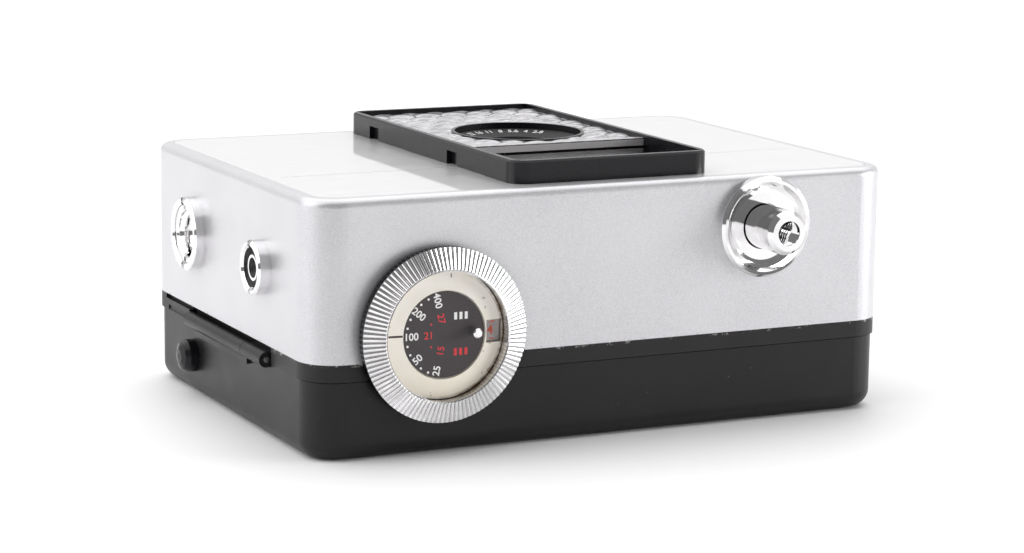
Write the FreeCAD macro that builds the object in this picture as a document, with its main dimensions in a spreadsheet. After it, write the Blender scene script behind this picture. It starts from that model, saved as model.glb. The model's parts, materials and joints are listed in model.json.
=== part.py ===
"""Half frame camera, lying on its back: +Z is the lens direction, -Y is the camera's top, -X its hinge end.

The origin is the centre of the back cover's outer face. Lengths are in millimetres. Every driving
dimension is a cell of the spreadsheet "Dims"; a Size carries a number together with the formula that
it comes from, so each sketch dimension and each placement is bound to those cells.
"""
import FreeCAD, Part
import math
import os

import Sketcher

Vector = FreeCAD.Vector
Rotation = FreeCAD.Rotation
doc = FreeCAD.newDocument("half_frame_camera")
sheet = doc.addObject("Spreadsheet::Sheet", "Dims")
PARTS = []


class Size:
    """A length that knows its value and the spreadsheet formula behind it."""

    def __init__(self, value, formula):
        self.value = float(value)
        self.formula = formula

    def _join(self, other, sign, flip=False):
        other = size(other)
        left, right = (other, self) if flip else (self, other)
        value = {"+": left.value + right.value, "-": left.value - right.value,
                 "*": left.value * right.value,
                 "/": left.value / right.value if right.value else 0.0}[sign]
        return Size(value, f"({left.formula} {sign} {right.formula})")

    def __add__(self, other):
        return self._join(other, "+")

    def __radd__(self, other):
        return self._join(other, "+", True)

    def __sub__(self, other):
        return self._join(other, "-")

    def __rsub__(self, other):
        return self._join(other, "-", True)

    def __mul__(self, other):
        return self._join(other, "*")

    def __rmul__(self, other):
        return self._join(other, "*", True)

    def __truediv__(self, other):
        return self._join(other, "/")

    def __neg__(self):
        return self._join(0, "-", True)


def size(value):
    """Any number as a Size."""
    if isinstance(value, Size):
        return value
    return Size(value, f"{value:.6f}".rstrip("0").rstrip("."))


DIMENSIONS = {
    # casing, seam heights and walls
    "body_len": 86.0, "body_wid": 61.3, "corner_rad": 5.0, "front_z": 34.0, "silver_z": 12.78,
    "strip_z": 10.5, "seam_gap": 0.15, "wall": 1.0, "edge_rad": 1.1,
    "cover_inset": 0.3, "cover_wall": 1.3, "cover_floor": 1.4, "cover_edge": 2.4,
    "crown_flat": 22.0, "crown_rise": 0.45, "plate_inset": 1.9, "plate_thick": 0.3,
    # lens block on the front
    "block_x0": -13.3, "block_x1": 16.25, "block_y0": -27.2, "block_y1": 28.4, "block_top": 37.1,
    "block_rad": 2.4, "block_wall": 1.0, "block_floor": 0.4, "divider_y": -9.9, "divider_thick": 0.9,
    "window_top": 36.6, "window_low": 35.5, "clip_depth": 0.7, "clip_top": 35.9,
    # lens
    "lens_x": 2.2, "lens_y": 3.4, "well_rad": 9.2, "barrel_rad": 5.45, "glass_rad": 4.55,
    "aperture_rad": 8.85, "housing_rad": 11.0,
    # top dial on the winding axis
    "dial_x": -25.3, "dial_z": 16.0, "dial_rad": 11.43, "dial_lip": 8.5, "dial_back": 31.0,
    "dial_edge": 32.6, "dial_top": 33.6, "ivory_in": 5.8, "disc_rad": 5.65, "flutes": 108,
    "flute_depth": 0.16, "spindle_rad": 0.9, "shaft_rad": 1.6, "stud_rad": 0.65, "stud_place": 4.0,
    # shutter release
    "release_x": 22.44, "release_z": 27.02, "collar_rad": 6.86, "plunger_rad": 3.0,
    "plunger_end": 37.6, "cable_rad": 1.65, "cable_depth": 8.0,
    # fittings on the hinge end
    "tripod_y": 12.9, "tripod_z": 23.2, "tripod_rad": 3.175, "tripod_bush_rad": 3.95,
    "flash_y": -13.4, "flash_z": 22.85, "flash_rad": 3.65,
    "hinge_x": -43.2, "hinge_z": 10.9, "knuckle_rad": 1.05, "hinge_y0": -15.5, "hinge_split": -8.2,
    "hinge_y1": 14.0, "hinge_pin_rad": 0.4, "side_stud_y": 13.9, "side_stud_z": 5.7,
    # film path
    "film_z": 8.0, "gate_len": 17.0, "gate_wid": 24.0, "film_y0": -18.6, "film_y1": 25.4,
    "spool_rad": 6.0, "barrel_in": 4.9, "cassette_x": 27.8, "cassette_z": 15.6, "cassette_half": 12.8,
    "sprocket_x": -9.9, "sprocket_rad": 6.05, "sprocket_shaft": 2.2, "deck_y": -19.4,
    "gear_mod": 0.4, "fit": 0.05,
}

for row, (alias, number) in enumerate(DIMENSIONS.items(), start=1):
    sheet.set(f"A{row}", str(number))
    sheet.setAlias(f"A{row}", alias)
doc.recompute()


class Dims:
    """Dims.name is the Size of the spreadsheet cell called name."""


for alias, number in DIMENSIONS.items():
    setattr(Dims, alias, Size(number, f"Dims.{alias}"))
D = Dims

UP = Rotation()
TO_TOP = Rotation(Vector(1, 0, 0), 90)       # local +Z points to -Y, local (x, y) is (x, z)
TO_BOTTOM = Rotation(Vector(1, 0, 0), -90)   # local +Z points to +Y, local (x, y) is (x, -z)
TO_HINGE = Rotation(Vector(0, 1, 0), -90)    # local +Z points to -X, local (x, y) is (z, y)
TO_LATCH = Rotation(Vector(0, 1, 0), 90)     # local +Z points to +X, local (x, y) is (-z, y)


# ---------------------------------------------------------------- building blocks

def place(item, x=0, y=0, z=0, turn=UP):
    """Put an object at (x, y, z), each bound to the sheet, with a fixed rotation."""
    spot = [size(x), size(y), size(z)]
    item.Placement = FreeCAD.Placement(Vector(*[s.value for s in spot]), turn)
    for axis, length in zip("xyz", spot):
        if "Dims" in length.formula:
            item.setExpression(f"Placement.Base.{axis}", length.formula)
    return item


def body(name, x=0, y=0, z=0, turn=UP):
    """An empty PartDesign body that is one sub-part."""
    item = doc.addObject("PartDesign::Body", name)
    item.Label = name
    place(item, x, y, z, turn)
    PARTS.append(item)
    return item


def sketch(owner, role="XY_Plane", height=0):
    """A sketch on one of the body's own origin planes, lifted by height along its normal."""
    item = owner.newObject("Sketcher::SketchObject", f"{owner.Name}_sketch")
    plane = [face for face in owner.Origin.OriginFeatures if face.Role == role][0]
    item.AttachmentSupport = (plane, [""])
    item.MapMode = "FlatFace"
    lift = size(height)
    item.AttachmentOffset = FreeCAD.Placement(Vector(0, 0, lift.value), UP)
    if "Dims" in lift.formula:
        item.setExpression("AttachmentOffset.Base.z", lift.formula)
    return item


def pin_down(drawing, kind, target, length):
    """A dimension of the sketch, bound to the sheet where the length comes from it."""
    length = size(length)
    index = drawing.addConstraint(Sketcher.Constraint(kind, *target, length.value))
    if "Dims" in length.formula:
        drawing.setExpression(f"Constraints[{index}]", length.formula)


def outline(drawing, points):
    """A closed polygon with every corner dimensioned from the sketch's origin."""
    first = drawing.GeometryCount
    spots = [(size(x), size(y)) for x, y in points]
    for here, there in zip(spots, spots[1:] + spots[:1]):
        start, end = [Vector(x.value, y.value, 0) for x, y in (here, there)]
        drawing.addGeometry(Part.LineSegment(start, end), False)
    for step, (x, y) in enumerate(spots):
        this, following = first + step, first + (step + 1) % len(spots)
        drawing.addConstraint(Sketcher.Constraint("Coincident", this, 2, following, 1))
        pin_down(drawing, "DistanceX", (-1, 1, this, 1), x)
        pin_down(drawing, "DistanceY", (-1, 1, this, 1), y)


def box_outline(drawing, x0, x1, y0, y1):
    outline(drawing, [(x0, y0), (x1, y0), (x1, y1), (x0, y1)])


def rounded_outline(drawing, x0, x1, y0, y1, radius):
    """A rectangle with round corners, held by tangency, its four sides and one radius."""
    left, right, low, high, radius = [size(v) for v in (x0, x1, y0, y1, radius)]
    rad = radius.value
    middles = [(right.value - rad, low.value + rad, -90), (right.value - rad, high.value - rad, 0),
               (left.value + rad, high.value - rad, 90), (left.value + rad, low.value + rad, 180)]
    arcs = []
    for x, y, start in middles:
        round_edge = Part.Circle(Vector(x, y, 0), Vector(0, 0, 1), rad)
        arc = Part.ArcOfCircle(round_edge, math.radians(start), math.radians(start + 90))
        arcs.append(drawing.addGeometry(arc, False))
    sides = []
    for this, following in zip(arcs, arcs[1:] + arcs[:1]):
        start, end = drawing.getPoint(this, 2), drawing.getPoint(following, 1)
        sides.append(drawing.addGeometry(Part.LineSegment(start, end), False))
    for this, side, following in zip(arcs, sides, arcs[1:] + arcs[:1]):
        drawing.addConstraint(Sketcher.Constraint("Tangent", this, 2, side, 1))
        drawing.addConstraint(Sketcher.Constraint("Tangent", side, 2, following, 1))
    for arc in arcs[1:]:
        drawing.addConstraint(Sketcher.Constraint("Equal", arcs[0], arc))
    drawing.addConstraint(Sketcher.Constraint("Vertical", sides[0]))
    drawing.addConstraint(Sketcher.Constraint("Horizontal", sides[1]))
    pin_down(drawing, "Radius", (arcs[0],), radius)
    pin_down(drawing, "DistanceX", (-1, 1, sides[0], 1), right)
    pin_down(drawing, "DistanceX", (-1, 1, sides[2], 1), left)
    pin_down(drawing, "DistanceY", (-1, 1, sides[1], 1), high)
    pin_down(drawing, "DistanceY", (-1, 1, sides[3], 1), low)


def circle(drawing, radius, x=0, y=0):
    radius, x, y = size(radius), size(x), size(y)
    this = drawing.addGeometry(Part.Circle(Vector(x.value, y.value, 0), Vector(0, 0, 1), radius.value), False)
    pin_down(drawing, "Radius", (this,), radius)
    pin_down(drawing, "DistanceX", (-1, 1, this, 3), x)
    pin_down(drawing, "DistanceY", (-1, 1, this, 3), y)


def pad(owner, drawing, length):
    feature = owner.newObject("PartDesign::Pad", f"{owner.Name}_pad")
    feature.Profile = drawing
    length = size(length)
    feature.Length = length.value
    if "Dims" in length.formula:
        feature.setExpression("Length", length.formula)
    drawing.Visibility = False
    doc.recompute()
    return feature


def pocket(owner, drawing, depth):
    """Cut upwards from the sketch by depth, and make sure that it removes something."""
    before = owner.Shape.Volume
    feature = owner.newObject("PartDesign::Pocket", f"{owner.Name}_pocket")
    feature.Profile = drawing
    feature.Reversed = True
    depth = size(depth)
    feature.Length = depth.value
    if "Dims" in depth.formula:
        feature.setExpression("Length", depth.formula)
    doc.recompute()
    if owner.Shape.Volume > before - 1e-6:
        raise RuntimeError(f"{owner.Label}: a pocket cuts nothing")
    return feature


def box_pad(owner, x0, x1, y0, y1, z0, z1):
    """Add a block between the given limits."""
    drawing = sketch(owner, height=z0)
    box_outline(drawing, x0, x1, y0, y1)
    return pad(owner, drawing, size(z1) - z0)


def box_cut(owner, x0, x1, y0, y1, z0, z1):
    """Remove a block between the given limits."""
    drawing = sketch(owner, height=z0)
    box_outline(drawing, x0, x1, y0, y1)
    return pocket(owner, drawing, size(z1) - z0)


def inset_outline(drawing, inset):
    """The camera's own round-cornered outline, drawn in by inset."""
    rounded_outline(drawing, inset - HALF_LEN, HALF_LEN - inset, inset - HALF_WID, HALF_WID - inset,
                    D.corner_rad - inset)


def inset_cut(owner, inset, z0, z1):
    """Remove the camera's outline, drawn in by inset, between two heights."""
    drawing = sketch(owner, height=z0)
    inset_outline(drawing, size(inset))
    return pocket(owner, drawing, size(z1) - z0)


def turned(name, profile, x=0, y=0, z=0, turn=UP):
    """A turned piece: profile is (radius, height) points, revolved about the local Z axis."""
    item = body(name, x, y, z, turn)
    drawing = sketch(item, "XZ_Plane")
    outline(drawing, profile)
    doc.recompute()
    feature = item.newObject("PartDesign::Revolution", f"{name}_turned")
    feature.Profile = drawing
    feature.ReferenceAxis = (drawing, ["V_Axis"])
    feature.Angle = 360
    drawing.Visibility = False
    doc.recompute()
    return item


def dress(owner, kind, amount, wanted):
    """Fillet or chamfer every edge of the body for which wanted(edge) is true."""
    base = owner.Tip
    names = [f"Edge{i}" for i, edge in enumerate(base.Shape.Edges, start=1) if wanted(edge)]
    feature = owner.newObject(f"PartDesign::{kind}", f"{owner.Name}_{kind.lower()}")
    feature.Base = (base, names)
    amount = size(amount)
    prop = "Radius" if kind == "Fillet" else "Size"
    setattr(feature, prop, amount.value)
    if "Dims" in amount.formula:
        feature.setExpression(prop, amount.formula)
    owner.Tip = feature
    doc.recompute()
    return feature


def upright(edge, at=None):
    """True for a straight edge along Z, where at gives its (x, y) places."""
    box = edge.BoundBox
    straight = box.ZLength > 0.2 and box.XLength < 1e-6 and box.YLength < 1e-6
    return straight and (at is None or any(
        abs(box.XMin - x) < 1e-3 and abs(box.YMin - y) < 1e-3 for x, y in at))


def corners(x0, x1, y0, y1):
    return [(size(x).value, size(y).value) for x in (x0, x1) for y in (y0, y1)]


def rod(radius, x, y, z, length, turn=UP):
    """A plain Part cylinder to be used in a boolean."""
    item = doc.addObject("Part::Cylinder", "rod")
    for prop, amount in (("Radius", size(radius)), ("Height", size(length))):
        setattr(item, prop, amount.value)
        if "Dims" in amount.formula:
            item.setExpression(prop, amount.formula)
    return place(item, x, y, z, turn)


def brick(x0, x1, y0, y1, z0, z1):
    """A plain Part box to be used in a boolean."""
    item = doc.addObject("Part::Box", "brick")
    for prop, low, high in (("Length", x0, x1), ("Width", y0, y1), ("Height", z0, z1)):
        amount = size(high) - low
        setattr(item, prop, amount.value)
        if "Dims" in amount.formula:
            item.setExpression(prop, amount.formula)
    return place(item, x0, y0, z0)


def as_part(item, name):
    """Make a boolean's result a sub-part of its own."""
    item.Label = name
    PARTS.append(item)
    return item


def inner(item):
    """A body that only feeds a boolean is no sub-part itself, and gives its label up."""
    item.Label = f"{item.Label}_stock"
    PARTS.remove(item)
    return item


def cut(base, tools):
    item = doc.addObject("Part::Cut", "cut")
    item.Base = base
    item.Tool = tools[0] if len(tools) == 1 else join(tools)
    return item


def join(items):
    item = doc.addObject("Part::MultiFuse", "join")
    item.Shapes = items
    return item


def solid(name, shape, x=0, y=0, z=0, turn=UP):
    """A sub-part whose shape comes from Part's own functions."""
    item = doc.addObject("Part::Feature", name)
    item.Label = name
    item.Shape = shape
    place(item, x, y, z, turn)
    PARTS.append(item)
    return item


# ---------------------------------------------------------------- casing, chassis and back

HALF_LEN = D.body_len / 2
HALF_WID = D.body_wid / 2
GATE_X0, GATE_X1 = D.lens_x - D.gate_len / 2, D.lens_x + D.gate_len / 2
GATE_Y0, GATE_Y1 = D.lens_y - D.gate_wid / 2, D.lens_y + D.gate_wid / 2
SPOOL_X0, SPOOL_X1 = D.dial_x - 12, D.dial_x + 10.8
CASSETTE_X0, CASSETTE_X1 = D.cassette_x - D.cassette_half, D.cassette_x + D.cassette_half
SPROCKET_Z = D.film_z + D.sprocket_rad
COVER_TOP = D.strip_z - D.seam_gap
TUBE_X0, TUBE_X1, TUBE_Y0, TUBE_Y1 = size(-4.4), size(9.4), size(-24.9), size(-14.6)
MESH_ANGLE = math.radians(75)
COCKING_LIFT = (D.gear_mod.value * 18 + 0.04) * math.sin(MESH_ANGLE)
COCKING_ALONG = (D.gear_mod.value * 18 + 0.04) * math.cos(MESH_ANGLE)


def inset_block(name, inset, z0, z1):
    """A block with the camera's outline, drawn in by inset, between two heights."""
    item = body(name)
    drawing = sketch(item, height=z0)
    inset_outline(drawing, size(inset))
    pad(item, drawing, size(z1) - z0)
    return item


def front_casing():
    """Drawn silver shell, open towards the back, with the holes of everything that passes through it."""
    item = inset_block("front_casing", 0, D.silver_z, D.front_z)
    top = D.front_z.value
    dress(item, "Fillet", D.edge_rad, lambda edge: abs(edge.BoundBox.ZMin - top) < 1e-6)
    inset_cut(item, D.wall, D.silver_z, D.front_z - D.wall)
    inset_cut(item, D.plate_inset, D.front_z - D.plate_thick, D.front_z)
    box_cut(item, D.block_x0 + 2, D.block_x1 - 2, D.block_y0 + 2, D.block_y1 - 2,
            D.front_z - D.wall, D.front_z)
    near, far, left = -HALF_WID - 1, HALF_WID - 3, -HALF_LEN - 1
    holes = [
        rod(2.8, D.dial_x, near, D.dial_z, 4, TO_BOTTOM),
        rod(5.2, D.release_x, near, D.release_z, 4, TO_BOTTOM),
        rod(2.1, D.cassette_x, far, D.cassette_z, 4, TO_BOTTOM),
        rod(1.35, D.sprocket_x, far, D.cassette_z, 4, TO_BOTTOM),
        rod(4.1, left, D.tripod_y, D.tripod_z, 4, TO_LATCH),
        rod(3.0, left, D.flash_y, D.flash_z, 4, TO_LATCH),
    ] + [rod(0.75, x, far, z, 4, TO_BOTTOM) for x, z in SCREW_PLACES]
    return as_part(cut(inner(item), holes), "front_casing")


SCREW_PLACES = [(-37, 18), (-37, 29), (10, 18), (38.5, 29)]


def front_plate():
    """Thin polished plate let into the front, open under the lens block, with two engraved lines."""
    low = D.front_z - D.plate_thick
    item = inset_block("front_plate", D.plate_inset + D.fit, low, D.front_z)
    box_cut(item, D.block_x0 + 2, D.block_x1 - 2, D.block_y0 + 2, D.block_y1 - 2, low, D.front_z)
    for x0, x1 in ((4 - HALF_LEN, D.block_x0), (D.block_x1, HALF_LEN - 4)):
        box_cut(item, x0, x1, -10.1, -9.9, D.front_z - 0.1, D.front_z)
    return item


def film_tub(item, x0, x1, ceiling):
    """Walls and ceiling of one film chamber, standing on the chassis deck."""
    box_pad(item, x0 - 0.8, x1 + 0.8, D.film_y0 - 0.8, D.film_y1 + 1, D.strip_z, ceiling + 0.8)


def chassis():
    """Black die-cast frame: rim, deck, two film tubs, and the dark tunnel behind the lens."""
    item = inset_block("chassis", 0, D.strip_z, D.silver_z)
    film_tub(item, SPOOL_X0, SPOOL_X1, 28)
    film_tub(item, CASSETTE_X0, CASSETTE_X1, 28.6)
    box_pad(item, GATE_X0 - 1.2, GATE_X1 + 1.2, GATE_Y0 - 1, GATE_Y1 + 1, D.strip_z, 20)
    box_pad(item, D.dial_x, D.cassette_x, D.film_y1, D.film_y1 + 1, D.strip_z, 20)
    box_pad(item, D.dial_x, D.cassette_x, D.deck_y, D.film_y0, D.strip_z, 20)
    box_pad(item, -15.5, -5.4, D.deck_y, D.film_y0, D.strip_z, 24)
    for x0, x1, ceiling in ((SPOOL_X0, SPOOL_X1, 28), (CASSETTE_X0, CASSETTE_X1, 28.6)):
        box_cut(item, x0, x1, D.film_y0, D.film_y1, D.strip_z, ceiling)
    box_cut(item, GATE_X0 - 0.2, GATE_X1 + 0.2, GATE_Y0 - 0.2, GATE_Y1 + 0.2, D.strip_z, 19)
    hinge_y0, hinge_y1 = D.hinge_y0 - 1.2, D.hinge_y1 + 0.8
    tools = [
        rod(4.5, D.lens_x, D.lens_y, 18, 3),
        rod(D.shaft_rad + D.fit, D.dial_x, D.deck_y - 1, D.dial_z, 3, TO_BOTTOM),
        rod(D.spindle_rad, D.dial_x, D.film_y1 - 1, D.dial_z, 3, TO_BOTTOM),
        rod(1.95, D.cassette_x, D.film_y1 - 1, D.cassette_z, 3, TO_BOTTOM),
        rod(D.sprocket_rad + 1.2, D.sprocket_x, D.lens_y - 17.5, SPROCKET_Z, 4.5, TO_BOTTOM),
        rod(D.sprocket_rad + 1.2, D.sprocket_x, D.lens_y + 13, SPROCKET_Z, 4.5, TO_BOTTOM),
        rod(D.sprocket_shaft + 0.15, D.sprocket_x, D.film_y0, SPROCKET_Z, D.film_y1 - D.film_y0, TO_BOTTOM),
        rod(1.5 + D.fit, D.sprocket_x, D.deck_y - 1, SPROCKET_Z, D.film_y1 - D.deck_y + 3, TO_BOTTOM),
        brick(TUBE_X0 - 0.2, TUBE_X1 + 0.2, TUBE_Y0 - 0.2, TUBE_Y1 + 0.2, D.strip_z - 1, 21),
        brick(-15.6, TUBE_X0 - 0.3, -24.8, D.deck_y, D.strip_z - 1, 14),
        brick(-HALF_LEN - 1, 1.1 - HALF_LEN, hinge_y0, hinge_y1, D.strip_z - 1, D.silver_z + 0.01),
        brick(-HALF_LEN - 1, 0.6 - HALF_LEN, hinge_y1 - 0.1, 24.5, D.silver_z - 0.7, D.silver_z + 0.01),
    ]
    hollow = cut(inner(item), tools)
    knuckle = rod(D.knuckle_rad, D.hinge_x, D.hinge_y0, D.hinge_z, D.hinge_split - D.hinge_y0 - 0.1, TO_BOTTOM)
    leaf = brick(D.hinge_x, 1.3 - HALF_LEN, D.hinge_y0, D.hinge_split - 0.1, D.hinge_z - 0.3, D.hinge_z + 0.9)
    bore = rod(D.hinge_pin_rad, D.hinge_x, D.hinge_y0 - 1, D.hinge_z, 40, TO_BOTTOM)
    post = rod(0.45, D.sprocket_x - COCKING_ALONG, -24.2, SPROCKET_Z + COCKING_LIFT, 24.2 + D.film_y0, TO_BOTTOM)
    spigot = inset_block("chassis_spigot", D.wall + 0.1, D.silver_z, D.silver_z + 2)
    inset_cut(spigot, D.wall + 1.2, D.silver_z, D.silver_z + 2)
    spigot = cut(inner(spigot), [
        rod(2.9, D.dial_x, -HALF_WID, D.dial_z, 5, TO_BOTTOM),
        rod(2.2, D.cassette_x, HALF_WID - 5, D.cassette_z, 6, TO_BOTTOM),
        rod(2.0, D.sprocket_x, HALF_WID - 5, D.cassette_z, 6, TO_BOTTOM)])
    return as_part(cut(join([hollow, spigot, post, knuckle, leaf]), [bore]), "chassis")


def crown_tool(side):
    """What the slight crown of the back takes away beyond its flat middle, towards one end."""
    run = HALF_LEN.value - D.crown_flat.value
    radius = (run ** 2 + D.crown_rise.value ** 2) / (2 * D.crown_rise.value)
    middle, low = radius * (1 - math.cos(0.5 * math.asin(run / radius))), -3.0
    half_run = radius * math.sin(0.5 * math.asin(run / radius))
    flat = side * D.crown_flat.value
    end = side * (HALF_LEN.value + 1)
    arc = Part.Arc(Vector(flat, -40, 0), Vector(flat + side * half_run, -40, middle),
                   Vector(flat + side * run, -40, D.crown_rise.value)).toShape()
    corners_xz = [(flat + side * run, D.crown_rise.value), (end, D.crown_rise.value), (end, low), (flat, low),
                  (flat, 0)]
    lines = [Part.LineSegment(Vector(a[0], -40, a[1]), Vector(b[0], -40, b[1])).toShape()
             for a, b in zip(corners_xz, corners_xz[1:])]
    face = Part.Face(Part.Wire([arc] + lines))
    item = doc.addObject("Part::Feature", "crown")
    item.Shape = face.extrude(Vector(0, 80, 0))
    return item


def back_cover():
    """Black back: shallow tray with its half of the hinge and the eyepiece hole."""
    item = inset_block("back_cover", D.cover_inset, 0, COVER_TOP)
    dress(item, "Fillet", D.cover_edge, lambda edge: abs(edge.BoundBox.ZMax) < 1e-6)
    inset_cut(item, D.cover_inset + D.cover_wall, D.cover_floor, COVER_TOP)
    tools = [
        crown_tool(-1), crown_tool(1),
        brick(TUBE_X0 + 2, TUBE_X1 - 2, TUBE_Y0 + 1.5, TUBE_Y1 - 1.5, -1, 3),
        rod(D.knuckle_rad + 0.12, D.hinge_x, D.hinge_y0 - 0.2, D.hinge_z,
            D.hinge_split - D.hinge_y0 + 0.2, TO_BOTTOM),
        brick(41, 44, -4.2, 7.2, 5.7, 7.7),
    ]
    hollow = cut(inner(item), tools)
    knuckle = rod(D.knuckle_rad, D.hinge_x, D.hinge_split, D.hinge_z, D.hinge_y1 - D.hinge_split, TO_BOTTOM)
    leaf = brick(D.hinge_x, 1.1 - HALF_LEN, D.hinge_split, D.hinge_y1, D.hinge_z - 2, D.hinge_z - 0.2)
    bore = rod(D.hinge_pin_rad + D.fit, D.hinge_x, D.hinge_y0 - 1, D.hinge_z, 40, TO_BOTTOM)
    return as_part(cut(join([hollow, knuckle, leaf]), [bore]), "back_cover")


def hinge_pin():
    item = body("hinge_pin", D.hinge_x, D.hinge_y0, D.hinge_z, TO_BOTTOM)
    drawing = sketch(item)
    circle(drawing, D.hinge_pin_rad)
    pad(item, drawing, D.hinge_y1 - D.hinge_y0)
    return item


def side_stud():
    """Domed foot on the hinge end of the back."""
    return turned("side_stud", [(0, 0), (2.3, 0), (2.3, 1.2), (1.9, 1.9), (1.1, 2.25), (0, 2.35)],
                  D.cover_inset - HALF_LEN, D.side_stud_y, D.side_stud_z, TO_HINGE)


def light_seal():
    """Felt strip at the latch end of the back, between cover and chassis."""
    item = body("light_seal")
    box_pad(item, 40.0, 41.0, 9.0, 26.0, 5.0, 9.5)
    return item


def film_gate():
    """Plate with the picture window, and film rails on both sides of it."""
    item = body("film_gate")
    x0, x1 = GATE_X0 - 1.2, GATE_X1 + 1.4
    y0, y1 = GATE_Y0 - 1.2, GATE_Y1 + 1.2
    step = x0 + 6.6
    drawing = sketch(item, height=D.film_z + 0.2)
    outline(drawing, [(x0, y0), (step, y0), (step, y0 - 4.4), (x1, y0 - 4.4), (x1, y1 + 4.4),
                      (step, y1 + 4.4), (step, y1), (x0, y1)])
    pad(item, drawing, D.strip_z - D.film_z - 0.2)
    box_cut(item, GATE_X0, GATE_X1, GATE_Y0, GATE_Y1, D.film_z + 0.2, D.strip_z)
    return item


def pressure_plate():
    """Polished plate that holds the film flat against the gate."""
    item = body("pressure_plate")
    limits = (D.lens_x - 8.9, D.lens_x + 12, D.lens_y - 16, D.lens_y + 16)
    box_pad(item, *limits, D.film_z - 1.0, D.film_z - 0.2)
    dress(item, "Fillet", 1.5, lambda edge: upright(edge, corners(*limits)))
    return item


def pressure_spring():
    """Bowed leaf spring between the back and the pressure plate."""
    x = D.lens_x.value + 1
    low, high, half = D.cover_floor.value, D.film_z.value - 1.9, 11.0
    arc = Part.Arc(Vector(x - 3, -half, low), Vector(x - 3, 0, high), Vector(x - 3, half, low)).toShape()
    over = Part.Arc(Vector(x - 3, half, low + 0.3), Vector(x - 3, 0, high + 0.3),
                    Vector(x - 3, -half, low + 0.3)).toShape()
    ends = [Part.LineSegment(Vector(x - 3, side * half, low), Vector(x - 3, side * half, low + 0.3)).toShape()
            for side in (1, -1)]
    face = Part.Face(Part.Wire(Part.__sortEdges__([arc, over] + ends)))
    return solid("pressure_spring", face.extrude(Vector(6, 0, 0)), y=D.lens_y)


# ---------------------------------------------------------------- lens block

CELL_X0, CELL_X1 = D.block_x0 + D.block_wall, D.block_x1 - D.block_wall
CELL_Y0, CELL_Y1 = D.divider_y + D.divider_thick, D.block_y1 - D.block_wall
FLOOR_TOP = D.front_z + D.block_floor


def cell_frame():
    """Black frame round the light cell, the lens and the viewfinder window."""
    item = body("cell_frame")
    limits = (D.block_x0, D.block_x1, D.block_y0, D.block_y1)
    box_pad(item, *limits, D.front_z, D.block_top)
    dress(item, "Fillet", D.block_rad, lambda edge: upright(edge, corners(*limits)))
    top = D.block_top.value
    dress(item, "Chamfer", 0.25, lambda edge: abs(edge.BoundBox.ZMin - top) < 1e-6)
    box_cut(item, CELL_X0, CELL_X1, CELL_Y0, CELL_Y1, FLOOR_TOP, D.block_top)
    box_cut(item, CELL_X0, CELL_X1, D.block_y0 + D.block_wall, D.divider_y, FLOOR_TOP, D.block_top)
    box_cut(item, CELL_X0, CELL_X1, D.divider_y - 0.5, CELL_Y0 + 0.5, D.window_top, D.block_top)
    box_cut(item, -9, 12, -25, -13, D.front_z, FLOOR_TOP)
    drawing = sketch(item, height=D.front_z)
    circle(drawing, D.well_rad, D.lens_x, D.lens_y)
    pocket(item, drawing, D.block_floor)
    for y0, y1 in ((7.8, 20.4), (-18.5, -6.3)):
        box_cut(item, D.block_x0, D.block_x0 + 0.15, y0, y1, D.front_z, D.clip_top)
        box_cut(item, D.block_x0, D.block_x0 + D.clip_depth, y1 - 2.9, y1, D.front_z, D.clip_top)
    return item


def cell_window():
    """Clear window moulded as a honeycomb of small round lenses, with a hole for the lens."""
    item = body("cell_window")
    gap = D.fit
    box_pad(item, CELL_X0 + gap, CELL_X1 - gap, CELL_Y0 + gap, CELL_Y1 - gap, D.window_low, D.window_top - 0.25)
    drawing = sketch(item, height=D.window_low)
    circle(drawing, D.well_rad + 0.25, D.lens_x, D.lens_y)
    pocket(item, drawing, 2)
    return item


def selenium_cell():
    """Light-sensitive plate under the honeycomb."""
    item = body("selenium_cell")
    gap = D.fit
    box_pad(item, CELL_X0 + gap, CELL_X1 - gap, CELL_Y0 + gap, CELL_Y1 - gap, FLOOR_TOP, D.window_low - 0.1)
    drawing = sketch(item, height=D.front_z)
    circle(drawing, D.well_rad + 0.25, D.lens_x, D.lens_y)
    pocket(item, drawing, 3)
    return item


def lens_bezel():
    """Thin black sleeve that lines the lens well."""
    low = FLOOR_TOP
    return turned("lens_bezel", [(D.well_rad - 0.25, low), (D.well_rad + 0.2, low),
                                 (D.well_rad + 0.2, D.window_top), (D.well_rad - 0.25, D.window_top)],
                  D.lens_x, D.lens_y)


def viewfinder_window():
    item = body("viewfinder_window")
    gap = D.fit
    box_pad(item, CELL_X0 + gap, CELL_X1 - gap, D.block_y0 + D.block_wall + gap, D.divider_y - gap,
            FLOOR_TOP, FLOOR_TOP + 1.05)
    return item


def viewfinder_tube():
    """Square tube that keeps stray light out between the window and the eyepiece."""
    item = body("viewfinder_tube")
    box_pad(item, TUBE_X0, TUBE_X1, TUBE_Y0, TUBE_Y1, 2.0, D.front_z - D.wall - 0.1)
    box_cut(item, TUBE_X0 + 0.8, TUBE_X1 - 0.8, TUBE_Y0 + 0.8, TUBE_Y1 - 0.8, 2.0, D.front_z)
    return item


def eyepiece_lens():
    """Rear lens of the viewfinder, held in the tube just inside the back."""
    item = body("eyepiece_lens")
    box_pad(item, TUBE_X0 + 0.8, TUBE_X1 - 0.8, TUBE_Y0 + 0.8, TUBE_Y1 - 0.8, 2.6, 4.2)
    return item


def aperture_ring():
    """Setting ring with a sloping face for its numbers."""
    low, high = D.window_top - 2.6, D.window_top - 0.85
    return turned("aperture_ring", [(D.barrel_rad + D.fit, low), (D.aperture_rad, low),
                                    (D.aperture_rad, high), (D.aperture_rad - 0.3, high),
                                    (D.barrel_rad + D.fit, high - 0.75)], D.lens_x, D.lens_y)


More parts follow.
